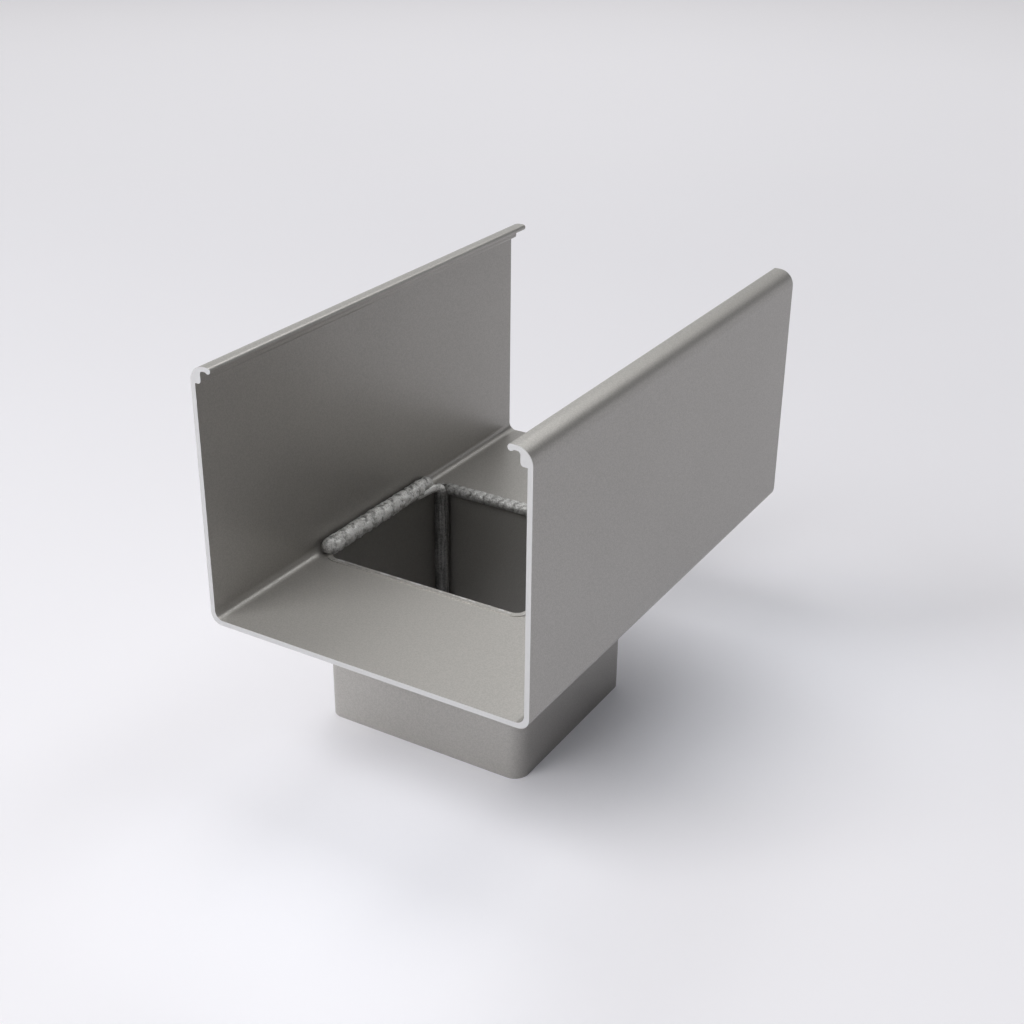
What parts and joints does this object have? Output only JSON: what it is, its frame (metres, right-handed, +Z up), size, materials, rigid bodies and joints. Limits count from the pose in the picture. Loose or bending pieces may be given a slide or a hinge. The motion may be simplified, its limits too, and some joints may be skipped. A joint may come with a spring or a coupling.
{
  "type": "box gutter outlet",
  "caption": "Short length of lipped box gutter with a rectangular spigot welded through its floor, so that rainwater drops into a downpipe.",
  "frame": {"origin": "below the middle of the gutter in plan, at the level of the spigot's cut end", "axes": "+X across the gutter, away from the wall that carries the heavy weld run; +Y along the gutter, away from the picture's near end; +Z up"},
  "size_m": [0.12, 0.186, 0.153],
  "materials": {
    "gutter_body": "grey metallic coat, satin, with bare bright cut ends",
    "outlet_spigot": "grey metallic coat, satin, with bare cut edges",
    "weld_bead": "bright rippled weld metal"
  },
  "bodies": {
    "root": {"gutter_body": "gutter_body", "outlet_spigot": "outlet_spigot", "weld_bead": "weld_bead"}
  },
  "joints": []
}
